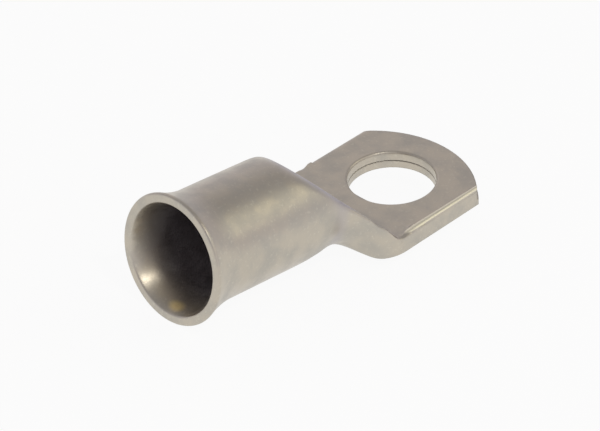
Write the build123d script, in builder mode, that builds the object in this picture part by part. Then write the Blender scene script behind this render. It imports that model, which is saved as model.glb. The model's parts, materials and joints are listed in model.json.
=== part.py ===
"""Tinned copper tube terminal with a bell mouth, pressed from one length of tube.

One end of the tube takes the conductor and is flared so that the strands enter easily. The other end is
pressed flat into a palm, whose underside bolts onto a stud. Between them a sloping press face folds the top
of the tube down while its sides spread out to the width of the palm. The two pressed walls stay apart by a
hair, and that seam shows in the stud hole and at the tip.

Millimetres, +Z up. The tube runs along X with its mouth toward -X. The origin is the middle of the footprint,
on the level of the lowest point of the bell mouth. Distances are measured along the tube from its mouth.
"""
from build123d import *
from math import cos, exp, radians, sin, sqrt, tan
import os

# Tube and its bell mouth, which leans so that it reaches farthest at the bottom
tube_diameter = 13.2
wall = 1.2
lip_diameter = 15.3
lip_edge_radius = 0.3
flare_length = 5.4
flare_sink = 0.03
mouth_lean = 3.2

# Palm, with the stud hole's centre on the underside given from the mouth and from the tube's axis down
palm_width = 18.5
palm_thickness = 2.25
palm_pitch = 7.0
contact_drop = 5.25
hole_distance = 35.9
hole_diameter = 10.5
hole_edge_radius = 0.3
tip_reach = 9.0
tip_radius = 12.7
tip_step = 0.2

# Press face that folds the top of the tube down
press_start = 15.9
press_slope = 42.4
press_foot_radius = 2.0

# Sides and underside of the fold
spread_start = 20.3
spread_end = 28.5
heel_start = 22.4
heel_end = 25.9
waist_depth = 0.45
waist_distance = 21.4
waist_length = 2.9
wall_gain = 0.05

# How sharply the fold turns along the edges of the press face and of the palm, where a higher number is
# sharper, and how much the press takes off to make both flat
press_sharpness = 11
palm_sharpness = 16
inside_sharpness = 5
press_allowance = 0.03

# Bead that the press leaves standing along the near edge of the palm
bead_start = 27.9
bead_radius = 0.5
bead_radius_at_tip = 0.3
bead_height = 0.3
bead_gap = 0.04

# Seam between the two pressed walls
lower_wall = 0.95
seam_gap = 0.1

# Where the bore ends and the fold's outlines begin, and how closely these stand and are pointed
bore_end = 14.5
bore_overlap = 1.5
fold_start = 11.0
fold_end = 31.5
station_spacing = 1.0
outline_count = 40
inside_count = 24

tube_radius = tube_diameter / 2
lip_radius = lip_diameter / 2
pitch = radians(palm_pitch)
slope = radians(press_slope)
lean = radians(mouth_lean)
fold_wall = wall + wall_gain
seam_width = palm_width - 4 * wall
flare_slope = 2 * (lip_radius - tube_radius) / flare_length
rim_radius = lip_radius + lip_edge_radius * (flare_slope + sqrt(1 + flare_slope**2) - 1)
mouth_reach = lip_radius * sin(lean)
overall_length = mouth_reach + hole_distance + tip_reach * cos(pitch)
mouth = Vector(mouth_reach - overall_length / 2, 0, lip_radius * cos(lean))

along_palm = Vector(cos(pitch), 0, sin(pitch))
contact_plane = Plane(
    origin=mouth + Vector(hole_distance, 0, -contact_drop),
    x_dir=along_palm,
    z_dir=Vector(-sin(pitch), 0, cos(pitch)),
)
side_view = Plane(origin=mouth, x_dir=(1, 0, 0), z_dir=(0, -1, 0))
tip_centre = (tip_reach - tip_radius, 0)


def across_tube(distance):
    """Plane across the tube at a distance from the mouth, leaning with the mouth until the bell ends."""
    tilt = lean * max(1 - distance / flare_length, 0)
    return Plane(origin=mouth + Vector(distance, 0, 0), x_dir=(0, 1, 0), z_dir=(cos(tilt), 0, -sin(tilt)))


def across_palm(along):
    """Plane square to the palm at a distance from the stud hole, with Y across and the palm's height up."""
    origin = contact_plane.from_local_coords((along, 0, 0))
    return Plane(origin=origin, x_dir=(0, 1, 0), z_dir=along_palm)


def blend(first, last, share):
    return first + (last - first) * share


def ease(value, start, end):
    """Share of the way from start to end, with a soft beginning and a soft end."""
    share = min(max((value - start) / (end - start), 0), 1)
    return share * share * (3 - 2 * share)


def above_contact(distance, height):
    """Height, from the tube's axis, of the plane that lies this far above the palm's underside."""
    return (distance - hole_distance) * tan(pitch) - contact_drop + height / cos(pitch)


def press_face(distance, inset=0):
    """Height of the press face, moved in by the inset."""
    return tube_radius - (distance - press_start) * tan(slope) - inset / cos(slope)


def meeting(inset, height):
    """Distance at which the press face, moved in by the inset, meets a plane above the palm's underside."""
    return (press_face(0, inset) - above_contact(0, height)) / (tan(slope) + tan(pitch))


def bell_radius(distance, inset=0):
    """Radius of the bell, moved in by the inset, which grows toward the mouth out of the straight tube."""
    opening = (rim_radius + flare_sink - tube_radius) * (1 - distance / flare_length) ** 2
    return tube_radius - inset - flare_sink + opening


def lug_outline(distance, inset=0, floor=0, count=outline_count, press_power=press_sharpness):
    """Draws the outline across the terminal as one smooth closed curve.

    It is round at first. Toward the palm it spreads to the palm's width, its bottom flattens and the press
    lowers its top. The inset moves it in by a wall, and the floor is the height of its flat bottom above the
    palm's underside. Each of the points, given by their count, lies on a ray from the middle of the outline.
    """
    waist = waist_depth * exp(-(((distance - waist_distance) / waist_length) ** 2))
    radius = tube_radius - inset - waist
    spread = ease(distance, spread_start, spread_end)
    half_width = blend(radius, palm_width / 2 - inset, spread)
    heel = ease(distance, heel_start, heel_end)
    pressed = max(press_face(distance), above_contact(distance, palm_thickness)) + press_allowance
    slant = slope if press_face(distance) > above_contact(distance, palm_thickness) else pitch
    top = pressed - inset / cos(slant)
    bottom = blend(-radius, above_contact(distance, floor) - press_allowance, heel)
    middle = (min(top, radius) + bottom) / 2
    half_height = (min(top, radius) - bottom) / 2

    points = []
    for step in range(count):
        angle = radians(360 * step / count - 90)
        across = half_width * cos(angle)
        up = half_height * sin(angle)
        spin = cos(angle) ** 2 + (up / radius) ** 2
        lift = middle * up / radius**2
        to_oval = (sqrt(lift**2 + spin * (1 - (middle / radius) ** 2)) - lift) / spin
        to_box = (abs(cos(angle)) ** palm_sharpness + abs(sin(angle)) ** palm_sharpness) ** (-1 / palm_sharpness)
        reach = blend(to_oval, to_box, heel)
        if up > 0:
            sharpness = blend(press_power, palm_sharpness, heel)
            reach = (reach**-sharpness + ((top - middle) / up) ** -sharpness * (1 - heel)) ** (-1 / sharpness)
        points.append((reach * across, middle + reach * up))
    parameters = [step / count for step in range(count + 1)]
    add(Edge.make_spline(points, periodic=True, parameters=parameters))


def stations(first, last):
    """Evenly spaced distances from first to last, about one station spacing apart."""
    count = round((last - first) / station_spacing)
    return [blend(first, last, step / count) for step in range(count + 1)]


cavity_end = meeting(fold_wall, lower_wall) - 5 * seam_gap
seam_start = (cavity_end - 5 * seam_gap - hole_distance) / cos(pitch)
seam_end = tip_reach + 2

with BuildPart() as cavity:
    for station in stations(-station_spacing, flare_length):
        with BuildSketch(across_tube(station)):
            Circle(bell_radius(station, wall))
    loft()
    with BuildSketch(across_tube(bore_end)):
        Circle(tube_radius - wall)
    extrude(amount=flare_length / 2 - bore_end)
    for station in stations(bore_end - bore_overlap, cavity_end):
        with BuildSketch(across_tube(station)):
            with BuildLine():
                lug_outline(station, fold_wall, lower_wall, inside_count, inside_sharpness)
            make_face()
    loft(ruled=True)
    with BuildSketch(contact_plane.offset(lower_wall)):
        with Locations(((seam_start + seam_end) / 2, 0)):
            Rectangle(seam_end - seam_start, seam_width)
    extrude(amount=seam_gap)

foot_distance = meeting(0, palm_thickness)
foot = (foot_distance, above_contact(foot_distance, palm_thickness))
beyond_tip = overall_length + 2
palm_end = (beyond_tip, above_contact(beyond_tip, palm_thickness))

bead_root = (bead_start - hole_distance) / cos(pitch)

with BuildPart() as tube_terminal:
    for station in stations(0, flare_length):
        with BuildSketch(across_tube(station)):
            Circle(bell_radius(station))
    loft()
    with BuildSketch(across_tube(fold_start)):
        with BuildLine():
            lug_outline(fold_start)
        make_face()
    extrude(amount=flare_length / 2 - fold_start)
    for station in stations(fold_start, fold_end):
        with BuildSketch(across_tube(station)):
            with BuildLine():
                lug_outline(station)
            make_face()
    loft()
    with BuildSketch(across_tube(fold_end)):
        with BuildLine():
            lug_outline(fold_end)
        make_face()
    extrude(amount=beyond_tip - fold_end, dir=along_palm)

    # Press the fold and the palm flat, above and below
    with BuildSketch(side_view):
        with BuildLine():
            FilletPolyline(
                (press_start, press_face(press_start)),
                foot,
                palm_end,
                (beyond_tip, press_face(press_start)),
                radius=(0, press_foot_radius, 0, 0),
                close=True,
            )
        make_face()
        with BuildLine():
            Polyline(
                (heel_start, above_contact(heel_start, 0)),
                (beyond_tip, above_contact(beyond_tip, 0)),
                (beyond_tip, above_contact(heel_start, 0) - palm_thickness),
                (heel_start, above_contact(heel_start, 0) - palm_thickness),
                close=True,
            )
        make_face()
    extrude(amount=palm_width, both=True, mode=Mode.SUBTRACT)

    # Open the inside, and round the lip
    add(cavity.part, mode=Mode.SUBTRACT)
    lip = tube_terminal.faces().sort_by(Axis.X)[0]
    fillet(lip.edges(), lip_edge_radius)

    # Leave the bead along the near edge, rising out of the palm at its root
    for share in (0, 0.05, 0.1, 0.15, 0.5, 1):
        radius = blend(bead_radius, bead_radius_at_tip, share)
        height = palm_thickness - radius + blend(-bead_gap, bead_height, ease(share, 0, 0.15))
        with BuildSketch(across_palm(blend(bead_root, tip_reach, share))):
            with Locations((radius + bead_gap - palm_width / 2, height)):
                Circle(radius)
    loft(ruled=True)

    # Trim the tip to its arc, the upper wall a little shorter than the lower one
    with BuildSketch(contact_plane):
        with Locations((tip_reach, 0)):
            Rectangle(2 * tip_reach, 2 * palm_width)
        with Locations(tip_centre):
            Circle(tip_radius, mode=Mode.SUBTRACT)
    extrude(amount=tip_radius, both=True, mode=Mode.SUBTRACT)
    with BuildSketch(contact_plane.offset(lower_wall)):
        with Locations((tip_reach, 0)):
            Rectangle(2 * tip_reach, 2 * palm_width)
        with Locations(tip_centre):
            Circle(tip_radius - tip_step, mode=Mode.SUBTRACT)
    extrude(amount=tip_radius, mode=Mode.SUBTRACT)

    # Punch the stud hole from above, which rounds its upper rim
    with BuildSketch(contact_plane):
        Circle(hole_diameter / 2)
    extrude(amount=2 * palm_thickness, both=True, mode=Mode.SUBTRACT)
    stud_rim = tube_terminal.edges(Select.LAST).filter_by(GeomType.CIRCLE).sort_by(Axis.Z)[-1]
    fillet(stud_rim, hole_edge_radius)

tube_terminal.part.label = "tube_terminal"
os.makedirs("parts", exist_ok=True)
export_step(tube_terminal.part, "parts/tube_terminal.step")
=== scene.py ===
"""Studio scene of a tinned copper tube terminal, seen from the viewing angle of its photograph.

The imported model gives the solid, in metres, with X along the tube from its mouth to the palm and
Z up. The scene dresses a smooth copy of it in dull tin plating, and adds a pale floor, soft light
and the camera.
"""

import json
import logging
from collections.abc import Mapping
from dataclasses import dataclass, field
from enum import Enum
from math import cos, radians, sin

import bmesh
import bpy
from mathutils import Matrix, Vector

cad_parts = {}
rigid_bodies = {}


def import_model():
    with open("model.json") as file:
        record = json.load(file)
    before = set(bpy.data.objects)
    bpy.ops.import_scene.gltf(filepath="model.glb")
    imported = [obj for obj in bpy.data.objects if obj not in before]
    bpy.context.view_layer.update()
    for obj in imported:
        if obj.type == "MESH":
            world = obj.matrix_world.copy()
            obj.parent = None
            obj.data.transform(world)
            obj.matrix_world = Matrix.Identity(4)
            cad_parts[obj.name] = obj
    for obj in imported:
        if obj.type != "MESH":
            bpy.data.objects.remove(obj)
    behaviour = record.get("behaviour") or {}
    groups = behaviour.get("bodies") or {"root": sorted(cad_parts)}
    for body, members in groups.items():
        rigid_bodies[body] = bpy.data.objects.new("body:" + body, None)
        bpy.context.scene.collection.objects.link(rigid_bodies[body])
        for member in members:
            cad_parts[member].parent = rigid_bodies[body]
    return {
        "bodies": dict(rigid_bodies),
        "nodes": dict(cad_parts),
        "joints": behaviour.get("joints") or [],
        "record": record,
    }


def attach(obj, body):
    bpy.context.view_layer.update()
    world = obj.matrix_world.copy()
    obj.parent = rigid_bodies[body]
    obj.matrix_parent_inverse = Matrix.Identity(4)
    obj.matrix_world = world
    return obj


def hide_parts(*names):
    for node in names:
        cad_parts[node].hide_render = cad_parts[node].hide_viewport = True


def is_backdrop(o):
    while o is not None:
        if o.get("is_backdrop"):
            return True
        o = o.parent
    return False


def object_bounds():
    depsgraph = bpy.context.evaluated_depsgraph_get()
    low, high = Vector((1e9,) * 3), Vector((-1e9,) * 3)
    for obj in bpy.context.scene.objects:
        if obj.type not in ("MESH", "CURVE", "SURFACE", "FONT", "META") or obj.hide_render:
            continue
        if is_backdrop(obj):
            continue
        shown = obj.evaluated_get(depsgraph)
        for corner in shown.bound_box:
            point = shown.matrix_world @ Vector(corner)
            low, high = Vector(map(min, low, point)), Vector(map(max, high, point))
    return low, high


MM = 0.001
log = logging.getLogger("tube_terminal_scene")

# The Mix node's colour sockets share their names with its other sockets, so they go by place.
MIX_SHARE, MIX_FIRST_COLOR, MIX_SECOND_COLOR = 0, 6, 7
NOISE_MIDDLE = 0.5

Color = tuple[float, float, float]
Span = tuple[float, float]
Operand = "Signal | float | tuple[float, ...]"


class Output(Enum):
    """Outputs of nodes that have more than one, by name or by place."""

    FIRST = 0
    MIXED_COLOR = 2
    OBJECT_POSITION = "Object"
    CAMERA_RAY = "Is Camera Ray"
    GLOSSY_RAY = "Is Glossy Ray"
    TRANSMISSION_RAY = "Is Transmission Ray"
    X = "X"
    Y = "Y"
    Z = "Z"
    VALUE = "Value"


class Signal:
    """A number, colour or vector that flows through a shader graph, and takes part in expressions."""

    def __init__(self, graph: "ShaderGraph", socket: bpy.types.NodeSocket | None) -> None:
        """Wraps an output socket of a node in the graph, or none where a node has no output."""
        self.graph = graph
        self.socket = socket

    def _math(self, operation: str, first: Operand, second: Operand) -> "Signal":
        """Adds a Math node for one operation on two numbers."""
        return self.graph.node("ShaderNodeMath", {"operation": operation}, {0: first, 1: second})

    def __add__(self, other: Operand) -> "Signal":
        """Sum."""
        return self._math("ADD", self, other)

    def __radd__(self, other: Operand) -> "Signal":
        """Sum with a plain number first."""
        return self._math("ADD", other, self)

    def __sub__(self, other: Operand) -> "Signal":
        """Difference."""
        return self._math("SUBTRACT", self, other)

    def __rsub__(self, other: Operand) -> "Signal":
        """Difference with a plain number first."""
        return self._math("SUBTRACT", other, self)

    def __mul__(self, other: Operand) -> "Signal":
        """Product."""
        return self._math("MULTIPLY", self, other)

    def __rmul__(self, other: Operand) -> "Signal":
        """Product with a plain number first."""
        return self._math("MULTIPLY", other, self)

    def __pow__(self, other: Operand) -> "Signal":
        """Power."""
        return self._math("POWER", self, other)

    def ramp(self, low: float, high: float) -> "Signal":
        """Smooth share of the way from low to high, held at 0 and 1 outside them.

        Args:
            low: Input at which the share is 0.
            high: Input at which the share is 1. It may be below low.

        Returns:
            The share.
        """
        start, end = min(low, high), max(low, high)
        share = self.graph.node(
            "ShaderNodeMapRange",
            {"interpolation_type": "SMOOTHSTEP"},
            {"Value": self, "From Min": start, "From Max": end},
        )
        return share if low < high else 1 - share


class ShaderGraph:
    """Node tree of a material or world, filled by expressions."""

    def __init__(self, tree: bpy.types.NodeTree) -> None:
        """Empties the tree."""
        self.tree = tree
        tree.nodes.clear()

    def node(
        self,
        kind: str,
        settings: Mapping[str, object] | None = None,
        inputs: Mapping[int | str, Operand] | None = None,
        output: Output = Output.FIRST,
    ) -> Signal:
        """Adds a node.

        Args:
            kind: Blender's type name of the node.
            settings: Properties of the node, set before its sockets. "stops" gives a color ramp's
                places and colours.
            inputs: Values or signals for its input sockets, by name or place.
            output: The output to return.

        Returns:
            The node's chosen output.
        """
        node = self.tree.nodes.new(kind)
        for name, setting in (settings or {}).items():
            if name == "stops":
                self._set_stops(node.color_ramp, setting)
            else:
                setattr(node, name, setting)
        for key, value in (inputs or {}).items():
            if isinstance(value, Signal):
                self.tree.links.new(value.socket, node.inputs[key])
            else:
                node.inputs[key].default_value = value
        if not node.outputs:
            return Signal(self, None)
        return Signal(self, node.outputs[output.value])

    @staticmethod
    def _set_stops(ramp: bpy.types.ColorRamp, stops: list[tuple[float, Color]]) -> None:
        """Gives a color ramp its stops.

        Args:
            ramp: The color ramp, with no more stops than it is to have.
            stops: Place, from 0 to 1, and colour of each stop.
        """
        while len(ramp.elements) < len(stops):
            ramp.elements.new(1.0)
        for element, (place, color) in zip(ramp.elements, stops):
            element.position = place
            element.color = (*color, 1.0)

    def mix(self, share: Operand, first: Operand, second: Operand) -> Signal:
        """Mixes two colours.

        Args:
            share: 0 gives the first colour and 1 the second.
            first: Colour, plain or a signal.
            second: Colour, plain or a signal.

        Returns:
            The mixed colour.
        """
        first, second = (
            (*color, 1.0) if isinstance(color, tuple) else color for color in (first, second)
        )
        sockets = {MIX_SHARE: share, MIX_FIRST_COLOR: first, MIX_SECOND_COLOR: second}
        return self.node("ShaderNodeMix", {"data_type": "RGBA"}, sockets, Output.MIXED_COLOR)

    def axes(self, vector: Signal) -> tuple[Signal, ...]:
        """X, Y and Z of a vector, as numbers."""
        return tuple(
            self.node("ShaderNodeSeparateXYZ", inputs={0: vector}, output=output)
            for output in (Output.X, Output.Y, Output.Z)
        )

    def stretched(self, position: Signal, scale: tuple[float, float, float]) -> Signal:
        """Position multiplied along each axis."""
        return self.node(
            "ShaderNodeVectorMath", {"operation": "MULTIPLY"}, {0: position, 1: scale}
        )

    def added(self, first: Operand, second: Operand) -> Signal:
        """Sum of two colours or vectors."""
        return self.node("ShaderNodeVectorMath", {"operation": "ADD"}, {0: first, 1: second})

    def scaled(self, color: Operand, share: Operand) -> Signal:
        """Colour or vector times a number."""
        return self.node(
            "ShaderNodeVectorMath", {"operation": "SCALE"}, {0: color, "Scale": share}
        )


def unit_vector(azimuth: float, elevation: float) -> Vector:
    """Direction at an azimuth, from +X toward +Y, and an elevation, both in degrees."""
    around, above = radians(azimuth), radians(elevation)
    return Vector((cos(around) * cos(above), sin(around) * cos(above), sin(above)))


@dataclass(frozen=True)
class TubeAxis:
    """Where the tube runs, in metres: along X, through its mouth's centre."""

    mouth_x: float = -22.203 * MM
    height: float = 7.638 * MM
    bore_radius: float = 5.4 * MM
    wall: float = 1.2 * MM


@dataclass(frozen=True)
class Grain:
    """Noise over the metal: its ups and downs to the metre, and its share of the relief."""

    scale: float
    detail: float
    roughness: float = 0.6
    height: float = 0.0

    def over(self, graph: ShaderGraph, position: Signal) -> Signal:
        """Lays the noise over a position.

        Args:
            graph: Graph to add to.
            position: Position in metres.

        Returns:
            The noise, from 0 to 1.
        """
        sockets = {
            "Vector": position,
            "Scale": self.scale,
            "Detail": self.detail,
            "Roughness": self.roughness,
        }
        return graph.node("ShaderNodeTexNoise", inputs=sockets)


@dataclass(frozen=True)
class NickOrReflection:
    """Small spot on the plating, a nick or a painted reflection: its middle and half-sizes in metres,
    its colour and its strength.

    The core is the share of its size that the mark fills fully, before it fades.
    """

    middle: tuple[float, float, float]
    half_size: tuple[float, float, float]
    color: Color = (0.74, 0.70, 0.58)
    strength: float = 0.7
    core: float = 0.3

    def mask(self, graph: ShaderGraph, position: Signal) -> Signal:
        """Masks the mark.

        Args:
            graph: Graph to add to.
            position: Position in metres.

        Returns:
            The strength in the middle of the mark, and 0 outside it.
        """
        offset = graph.added(position, tuple(-place for place in self.middle))
        reach = graph.stretched(offset, tuple(1 / half for half in self.half_size))
        distance = graph.node(
            "ShaderNodeVectorMath", {"operation": "LENGTH"}, {0: reach}, Output.VALUE
        )
        return distance.ramp(1.0, self.core) * self.strength


@dataclass(frozen=True)
class TinPlating:
    """Dull tin over copper, a warm grey, with drawing lines, specks, nicks and painted light.

    Painted shade darkens the bore deeper in, a painted highlight lies along the bead, and a painted
    reflection of a warm lamp sits on the bell's lower lip.

    Each span gives where a mask is 0 and where it is 1, in metres, or in shares of the noise or of
    the tube's wall. The palm's top rises along X by palm_rise, from palm_level at the middle.
    """

    name: str = "tinned_copper"
    color: Color = (0.53, 0.48, 0.40)
    mottle_color: Color = (0.47, 0.44, 0.385)
    speck_color: Color = (0.74, 0.70, 0.58)
    # Painted highlight: the bead along the palm's near edge is coloured bright.
    bead_highlight_color: Color = (0.88, 0.83, 0.66)
    # Painted shade: the bore's wall turns this darker colour deeper in, where shade falls.
    bore_shade_color: Color = (0.46, 0.43, 0.44)
    speck_strength: float = 0.3
    # Share of the painted highlight on the bead.
    bead_highlight_strength: float = 0.85
    roughness: float = 0.32
    bore_roughness: float = 0.45
    roughness_change: float = 0.10

    mottle: Grain = Grain(scale=320, detail=4)
    specks: Grain = Grain(scale=2600, detail=2, height=0.5)
    drawing: Grain = Grain(scale=1, detail=3, height=0.5)
    drawing_stretch: tuple[float, float, float] = (120, 3600, 3600)
    dents: Grain = Grain(scale=900, detail=3, height=0.8)
    mottle_span: Span = (0.35, 0.68)
    speck_span: Span = (0.55, 0.75)
    bump_strength: float = 0.22
    bump_depth: float = 0.02 * MM
    edge_radius: float = 0.2 * MM
    edge_samples: int = 6

    nicks_and_reflection: tuple[NickOrReflection, ...] = (
        NickOrReflection((5.4 * MM, -3.7 * MM, 3.7 * MM), (0.28 * MM, 0.55 * MM, 0.5 * MM)),
        NickOrReflection((5.3 * MM, 0.1 * MM, 3.7 * MM), (0.25 * MM, 0.5 * MM, 0.5 * MM)),
        # Painted reflection: a warm lamp's reflection on the bell's lower inner lip, coloured in.
        NickOrReflection(
            (-21.4 * MM, -0.4 * MM, 1.7 * MM),
            (1.1 * MM, 1.5 * MM, 0.9 * MM),
            color=(1.0, 0.82, 0.44),
            strength=0.85,
        ),
    )

    palm_rise: float = 0.12278
    palm_level: float = 2.973 * MM
    bead_rise: Span = (0.02 * MM, 0.12 * MM)
    bead_edge: Span = (-7.8 * MM, -8.1 * MM)
    bead_start: Span = (5.6 * MM, 7.0 * MM)
    bore_skin: Span = (0.9, 0.4)
    bore_start: Span = (0.3 * MM, 6 * MM)
    bore_end: Span = (5 * MM, 3 * MM)
    axis: TubeAxis = field(default_factory=TubeAxis)

    def material(self) -> bpy.types.Material:
        """Builds the material.

        Returns:
            The material, which reads Object coordinates only.
        """
        material = bpy.data.materials.new(self.name)
        material.use_nodes = True
        graph = ShaderGraph(material.node_tree)
        position = graph.node("ShaderNodeTexCoord", output=Output.OBJECT_POSITION)

        mottle = self.mottle.over(graph, position).ramp(*self.mottle_span)
        speck = self.specks.over(graph, position)
        drawn = self.drawing.over(graph, graph.stretched(position, self.drawing_stretch))
        dents = self.dents.over(graph, position)
        bore = self._bore_mask(graph, position)

        plated = graph.mix(mottle, self.color, self.mottle_color)
        specked = speck.ramp(*self.speck_span) * self.speck_strength
        marked = graph.mix(specked, plated, self.speck_color)
        # Nicks, and the painted reflection on the bell's lower lip.
        for spot in self.nicks_and_reflection:
            marked = graph.mix(spot.mask(graph, position), marked, spot.color)
        # Painted highlight along the bead on the palm's near edge.
        bead = self._bead_mask(graph, position) * self.bead_highlight_strength
        highlighted = graph.mix(bead, marked, self.bead_highlight_color)
        # Painted shade: darker colour deeper in the bore.
        color = graph.mix(bore, highlighted, self.bore_shade_color)
        roughness = (
            self.roughness
            + self.roughness_change * mottle
            + self.roughness_change * (speck - NOISE_MIDDLE)
            + (self.bore_roughness - self.roughness) * bore
        )

        softened = graph.node(
            "ShaderNodeBevel", {"samples": self.edge_samples}, {"Radius": self.edge_radius}
        )
        relief = (
            self.specks.height * speck + self.drawing.height * drawn + self.dents.height * dents
        )
        bump = {
            "Strength": self.bump_strength,
            "Distance": self.bump_depth,
            "Height": relief,
            "Normal": softened,
        }
        bumped = graph.node("ShaderNodeBump", inputs=bump)
        metal = {"Base Color": color, "Metallic": 1.0, "Roughness": roughness, "Normal": bumped}
        surface = graph.node("ShaderNodeBsdfPrincipled", inputs=metal)
        graph.node("ShaderNodeOutputMaterial", inputs={"Surface": surface})
        return material

    def _bead_mask(self, graph: ShaderGraph, position: Signal) -> Signal:
        """Masks the bead, with its painted highlight, along the near edge of the palm, which stands
        above the palm's top.

        Args:
            graph: Graph to add to.
            position: Position in metres.

        Returns:
            1 on the bead and 0 elsewhere.
        """
        x, y, z = graph.axes(position)
        above_palm = z - x * self.palm_rise - self.palm_level
        near_edge = y.ramp(*self.bead_edge)
        return above_palm.ramp(*self.bead_rise) * near_edge * x.ramp(*self.bead_start)

    def _bore_mask(self, graph: ShaderGraph, position: Signal) -> Signal:
        """Masks the wall of the bore, past the flare, where painted shade darkens the colour.

        Args:
            graph: Graph to add to.
            position: Position in metres.

        Returns:
            1 in the bore, and 0 outside the tube and on the palm.
        """
        x, y, z = graph.axes(position)
        off_axis = (y * y + (z - self.axis.height) * (z - self.axis.height)) ** 0.5
        outer, inner = (
            self.axis.bore_radius + share * self.axis.wall for share in self.bore_skin
        )
        deep = (x - self.axis.mouth_x).ramp(*self.bore_start)
        return off_axis.ramp(outer, inner) * deep * x.ramp(*self.bore_end)


@dataclass(frozen=True)
class StudioFloor:
    """Plain white floor that keeps a soft shadow."""

    name: str = "studio_floor"
    size: float = 6.0
    color: Color = (0.9, 0.9, 0.9)
    glow: float = 0.92

    def build(self) -> bpy.types.Object:
        """Builds the floor under the terminal and marks it as stage.

        Returns:
            The floor.
        """
        mesh = bpy.data.meshes.new(self.name)
        half = self.size / 2
        corners = [(-half, -half, 0), (half, -half, 0), (half, half, 0), (-half, half, 0)]
        mesh.from_pydata(corners, [], [(0, 1, 2, 3)])
        floor = bpy.data.objects.new(self.name, mesh)
        bpy.context.scene.collection.objects.link(floor)
        mesh.materials.append(self._material())
        floor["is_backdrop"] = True
        return floor

    def _material(self) -> bpy.types.Material:
        """Builds the floor's material.

        Returns:
            White to the camera and in reflections, by the share of its glow, and matte otherwise.
        """
        material = bpy.data.materials.new(self.name)
        material.use_nodes = True
        graph = ShaderGraph(material.node_tree)
        camera, glossy, through = (
            graph.node("ShaderNodeLightPath", output=output)
            for output in (Output.CAMERA_RAY, Output.GLOSSY_RAY, Output.TRANSMISSION_RAY)
        )
        seen = (camera + glossy + through) * self.glow
        matte = graph.node("ShaderNodeBsdfDiffuse", inputs={"Color": (*self.color, 1.0)})
        white = graph.node("ShaderNodeEmission", inputs={"Strength": 1.0})
        surface = graph.node("ShaderNodeMixShader", inputs={0: seen, 1: matte, 2: white})
        graph.node("ShaderNodeOutputMaterial", inputs={"Surface": surface})
        return material


@dataclass(frozen=True)
class SkyGlow:
    """Round patch of light in the surround, full inside one angle and gone outside another.

    All angles are in degrees.
    """

    azimuth: float
    elevation: float
    inner: float
    outer: float
    color: Color

    def light(self, graph: ShaderGraph, direction: Signal) -> Signal:
        """Lights the surround.

        Args:
            graph: Graph to add to.
            direction: Direction in which the surround is seen.

        Returns:
            Light that the patch adds in that direction.
        """
        middle = tuple(unit_vector(self.azimuth, self.elevation))
        nearness = graph.node(
            "ShaderNodeVectorMath",
            {"operation": "DOT_PRODUCT"},
            {0: direction, 1: middle},
            Output.VALUE,
        )
        share = nearness.ramp(cos(radians(self.outer)), cos(radians(self.inner)))
        return graph.scaled(self.color, share)


@dataclass(frozen=True)
class StudioSky:
    """Soft grey surround, brighter toward the horizon, with a key glow and two that fill.

    The stops run from the horizon, at 0, to the zenith, at 1.
    """

    stops: tuple[tuple[float, Color], ...] = (
        (0.0, (0.82, 0.80, 0.83)),
        (0.26, (0.65, 0.63, 0.69)),
        (0.5, (0.52, 0.505, 0.54)),
        (0.7, (0.455, 0.445, 0.46)),
        (1.0, (0.42, 0.41, 0.42)),
    )
    glows: tuple[SkyGlow, ...] = (
        SkyGlow(azimuth=-39, elevation=36, inner=4, outer=24, color=(0.72, 0.70, 0.52)),
        SkyGlow(azimuth=68, elevation=42, inner=8, outer=32, color=(0.27, 0.25, 0.24)),
        SkyGlow(azimuth=-95, elevation=28, inner=10, outer=40, color=(0.30, 0.30, 0.28)),
    )

    def build(self) -> None:
        """Sets the world, whose generated coordinates are the direction of sight."""
        world = bpy.data.worlds.new("studio")
        bpy.context.scene.world = world
        world.use_nodes = True
        graph = ShaderGraph(world.node_tree)
        direction = graph.node("ShaderNodeTexCoord")
        height = graph.node("ShaderNodeSeparateXYZ", inputs={0: direction}, output=Output.Z)
        color = graph.node("ShaderNodeValToRGB", {"stops": list(self.stops)}, {0: height})
        for glow in self.glows:
            color = graph.added(color, glow.light(graph, direction))
        sky = graph.node("ShaderNodeBackground", inputs={"Color": color, "Strength": 1.0})
        graph.node("ShaderNodeOutputWorld", inputs={"Surface": sky})


@dataclass(frozen=True)
class Softbox:
    """Square soft lamp over the mouth, which brightens the bell's lower lip.

    It points at the terminal from a direction in degrees. Its distance and size are in metres and
    its power is in watts.
    """

    name: str = "mouth_lamp"
    azimuth: float = -108.0
    elevation: float = 54.0
    distance: float = 0.5
    size: float = 0.05
    power: float = 0.26
    color: Color = (1.0, 0.96, 0.86)

    def build(self, target: Vector) -> bpy.types.Object:
        """Hangs the lamp.

        Args:
            target: Point that it faces.

        Returns:
            The lamp.
        """
        lamp = bpy.data.lights.new(self.name, "AREA")
        lamp.shape = "SQUARE"
        lamp.size = self.size
        lamp.energy = self.power
        lamp.color = self.color
        box = bpy.data.objects.new(self.name, lamp)
        bpy.context.scene.collection.objects.link(box)
        away = unit_vector(self.azimuth, self.elevation)
        box.location = target + away * self.distance
        box.rotation_euler = away.to_track_quat("Z", "Y").to_euler()
        return box


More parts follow.
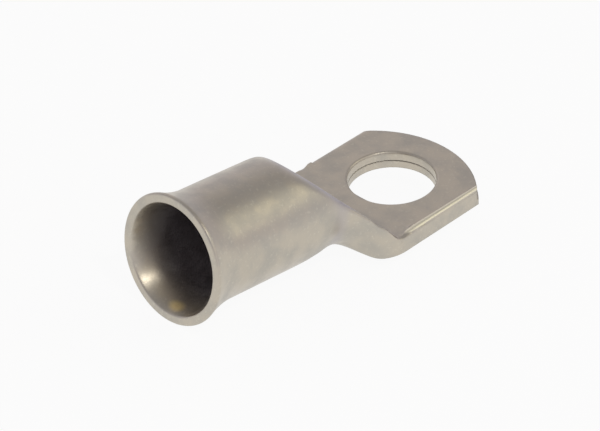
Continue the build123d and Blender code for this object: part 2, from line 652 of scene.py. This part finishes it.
@dataclass(frozen=True)
class PhotoCamera:
    """Camera of the photograph, from a fit to the terminal's outline.

    Azimuth 0 looks along +Y and elevation is above the horizon, in degrees. The offsets move the
    view right and up from the mouth's centre, and the distance is from there too, all in metres.
    The lens and the sensor are in millimetres.
    """

    azimuth: float = -46.925
    elevation: float = 31.164
    roll: float = 3.486
    offset_right: float = 14.131 * MM
    offset_up: float = 4.888 * MM
    distance: float = 291.785 * MM
    lens: float = 160.66
    sensor: float = 36.0
    near_clip: float = 0.01
    axis: TubeAxis = field(default_factory=TubeAxis)

    def build(self) -> bpy.types.Object:
        """Places the camera and makes it the scene's own.

        Returns:
            The camera.
        """
        azimuth, elevation, roll = (
            radians(angle) for angle in (self.azimuth, self.elevation, self.roll)
        )
        back = Vector(
            (sin(azimuth) * cos(elevation), -cos(azimuth) * cos(elevation), sin(elevation))
        )
        level_right = Vector((cos(azimuth), sin(azimuth), 0))
        level_up = back.cross(level_right)
        right = level_right * cos(roll) + level_up * sin(roll)
        up = level_up * cos(roll) - level_right * sin(roll)
        mouth = Vector((self.axis.mouth_x, 0, self.axis.height))
        offset = right * self.offset_right + up * self.offset_up
        place = mouth + offset + back * self.distance

        lens = bpy.data.cameras.new("photo_camera")
        lens.lens = self.lens
        lens.sensor_width = self.sensor
        lens.clip_start = self.near_clip
        camera = bpy.data.objects.new("photo_camera", lens)
        bpy.context.scene.collection.objects.link(camera)
        turn = Matrix((right, up, back)).transposed().to_4x4()
        camera.matrix_world = Matrix.Translation(place) @ turn
        bpy.context.scene.camera = camera
        return camera


@dataclass(frozen=True)
class TubeTerminal:
    """The terminal: a smooth-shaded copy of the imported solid, in tin plating.

    Angles are in degrees: faces that turn less than flat_angle join, and edges sharper than
    crease_angle stay creases. The area weight sets how far large faces rule the normals.
    """

    node: str = "tube_terminal"
    slot: str = "tinned_copper"
    name: str = "tinned_terminal"
    merge_distance: float = 1e-7
    flat_angle: float = 0.2
    crease_angle: float = 24.0
    area_weight: int = 60
    finish: TinPlating = field(default_factory=TinPlating)

    def build(self, frame: dict) -> bpy.types.Object:
        """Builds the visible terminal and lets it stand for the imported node.


        Returns:
            The terminal's object.
        """
        mesh = frame["nodes"][self.node].data.copy()
        mesh.name = self.name
        mesh.materials.clear()
        shell = bmesh.new()
        shell.from_mesh(mesh)
        bmesh.ops.remove_doubles(shell, verts=shell.verts, dist=self.merge_distance)
        bmesh.ops.dissolve_limit(
            shell,
            angle_limit=radians(self.flat_angle),
            verts=shell.verts,
            edges=shell.edges,
            delimit=set(),
        )
        shell.to_mesh(mesh)
        shell.free()
        mesh.shade_smooth()
        mesh.set_sharp_from_angle(angle=radians(self.crease_angle))
        mesh.materials.append(self.finish.material())
        terminal = bpy.data.objects.new(self.name, mesh)
        bpy.context.scene.collection.objects.link(terminal)
        self._even_out(terminal)
        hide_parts(self.node)
        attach(terminal, "root")
        return terminal

    def _even_out(self, terminal: bpy.types.Object) -> None:
        """Weights the normals by area, so that flat faces shade flat up to their edges.

        Args:
            terminal: The terminal, whose mesh is replaced.
        """
        weighted = terminal.modifiers.new("weighted", "WEIGHTED_NORMAL")
        weighted.keep_sharp = True
        weighted.weight = self.area_weight
        evaluated = terminal.evaluated_get(bpy.context.evaluated_depsgraph_get())
        mesh = bpy.data.meshes.new_from_object(evaluated)
        terminal.modifiers.remove(weighted)
        terminal.data = mesh


def set_view() -> None:
    """Shows colours as they are, without a film look."""
    bpy.context.scene.view_settings.view_transform = "Standard"


def main() -> None:
    """Builds the terminal, the floor, the light and the camera, in that order."""
    logging.basicConfig(level=logging.INFO, format="%(name)s: %(message)s")
    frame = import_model()
    cad_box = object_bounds()
    set_view()
    terminal = TubeTerminal().build(frame)
    log.info("terminal: %d faces", len(terminal.data.polygons))
    floor = StudioFloor().build()
    log.info("floor: %.1f m across", floor.dimensions.x)
    StudioSky().build()
    center = (Vector(cad_box[0]) + Vector(cad_box[1])) / 2
    lamp = Softbox().build(center)
    log.info("%s: %.2f m away", lamp.name, (lamp.location - center).length)
    camera = PhotoCamera().build()
    log.info("camera: %.3f m from the terminal", (camera.location - center).length)


if __name__ == "__main__":
    main()
